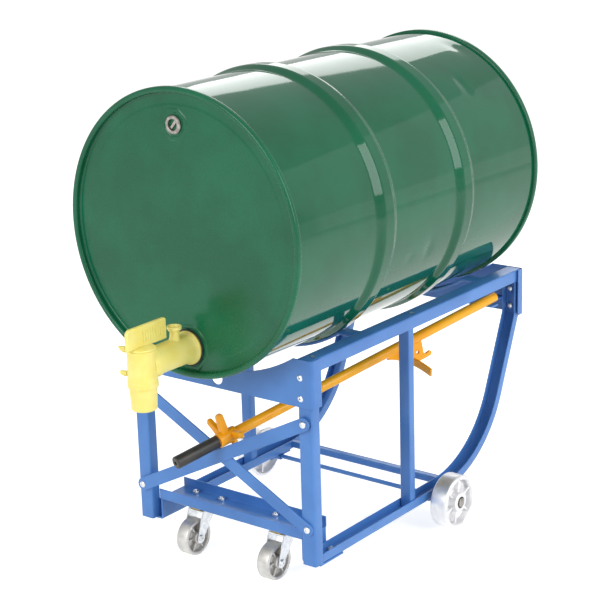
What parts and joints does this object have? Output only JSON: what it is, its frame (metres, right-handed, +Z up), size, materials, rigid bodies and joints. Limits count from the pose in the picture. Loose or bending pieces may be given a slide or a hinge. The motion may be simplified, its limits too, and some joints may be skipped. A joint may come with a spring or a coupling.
{
  "type": "rotating drum cart",
  "caption": "Wheeled steel cradle carrying a drum on its side, with a tap in the drum's head, swivel casters, curved rear runners and a loose lever stored across the frame.",
  "frame": {"origin": "middle of the bounding box on the floor, between the wheels, with the tap's paddle along the cart", "axes": "+X to the cart's right seen from the tap end looking along +Y, +Y from the tap to the rear plate, +Z up"},
  "size_m": [0.5992, 1.0724, 1.0435],
  "materials": {
    "blue_enamel": "gloss",
    "zinc_plate": "satin",
    "grey_cast_wheel": "satin",
    "black_bearing": "satin",
    "green_enamel": "gloss",
    "black_rubber": "matte",
    "yellow_plastic": "satin",
    "orange_enamel": "gloss"
  },
  "bodies": {
    "frame": {"left_top_rail": "blue_enamel", "right_top_rail": "blue_enamel", "left_front_leg": "blue_enamel", "right_front_leg": "blue_enamel", "left_runner": "blue_enamel", "right_runner": "blue_enamel", "left_mid_post": "blue_enamel", "right_mid_post": "blue_enamel", "left_tray_cleat": "blue_enamel", "right_tray_cleat": "blue_enamel", "left_caster_pad": "zinc_plate", "right_caster_pad": "zinc_plate", "left_kingpin": "zinc_plate", "right_kingpin": "zinc_plate", "front_saddle_plate": "blue_enamel", "rear_saddle_plate": "blue_enamel", "front_cradle_strap": "blue_enamel", "rear_cradle_strap": "blue_enamel", "rising_brace_bar": "blue_enamel", "falling_brace_bar": "blue_enamel", "brace_spacers": "zinc_plate", "brace_bolts": "zinc_plate", "saddle_bolts": "zinc_plate", "rail_bolts": "zinc_plate", "caster_tray": "blue_enamel", "cleat_bolts": "zinc_plate", "caster_bolts": "zinc_plate", "rear_axle": "blue_enamel", "axle_clips": "blue_enamel", "axle_spacers": "zinc_plate", "axle_caps": "zinc_plate", "rear_cross_bar": "blue_enamel", "lever_shelf": "blue_enamel"},
    "drum": {"drum_shell": "green_enamel", "drum_front_head": "green_enamel", "drum_rear_head": "green_enamel", "vent_plug": "zinc_plate", "tap_gasket": "black_rubber", "tap_body": "yellow_plastic", "tap_air_cap": "yellow_plastic"},
    "tap_valve": {"tap_handle": "yellow_plastic"},
    "lever": {"lever_tube": "orange_enamel", "lever_grip": "black_rubber", "wrench_head": "orange_enamel", "chime_hook": "orange_enamel", "hook_heel": "orange_enamel"},
    "left_caster": {"left_caster_fork": "zinc_plate", "left_swivel_balls": "zinc_plate", "left_caster_axle": "zinc_plate"},
    "left_caster_roller": {"left_caster_wheel": "grey_cast_wheel"},
    "left_rear_roller": {"left_rear_wheel": "grey_cast_wheel", "left_wheel_bearing": "black_bearing"},
    "right_caster": {"right_caster_fork": "zinc_plate", "right_swivel_balls": "zinc_plate", "right_caster_axle": "zinc_plate"},
    "right_caster_roller": {"right_caster_wheel": "grey_cast_wheel"},
    "right_rear_roller": {"right_rear_wheel": "grey_cast_wheel", "right_wheel_bearing": "black_bearing"}
  },
  "joints": [
    {"name": "drum_roll", "type": "hinge", "parent": "frame", "child": "drum", "pos_m": [0, 0, 0.74804], "axis": [0, 1, 0], "continuous": true},
    {"name": "tap_turn", "type": "hinge", "parent": "drum", "child": "tap_valve", "pos_m": [0, -0.49525, 0.51604], "axis": [0, 0, 1], "range_deg": [0, 90]},
    {"name": "lever_lift", "type": "slide", "parent": "frame", "child": "lever", "axis": [0, 0, 1], "range_m": [0, 0.025]},
    {"name": "left_caster_swivel", "type": "hinge", "parent": "frame", "child": "left_caster", "pos_m": [-0.11, -0.21675, 0.1], "axis": [0, 0, 1], "continuous": true},
    {"name": "left_caster_roll", "type": "hinge", "parent": "left_caster", "child": "left_caster_roller", "pos_m": [-0.11, -0.24875, 0.04], "axis": [1, 0, 0], "continuous": true},
    {"name": "left_rear_roll", "type": "hinge", "parent": "frame", "child": "left_rear_roller", "pos_m": [-0.2725, 0.18175, 0.06], "axis": [1, 0, 0], "continuous": true},
    {"name": "right_caster_swivel", "type": "hinge", "parent": "frame", "child": "right_caster", "pos_m": [0.11, -0.21675, 0.1], "axis": [0, 0, 1], "continuous": true},
    {"name": "right_caster_roll", "type": "hinge", "parent": "right_caster", "child": "right_caster_roller", "pos_m": [0.11, -0.24875, 0.04], "axis": [1, 0, 0], "continuous": true},
    {"name": "right_rear_roll", "type": "hinge", "parent": "frame", "child": "right_rear_roller", "pos_m": [0.2725, 0.18175, 0.06], "axis": [1, 0, 0], "continuous": true}
  ]
}
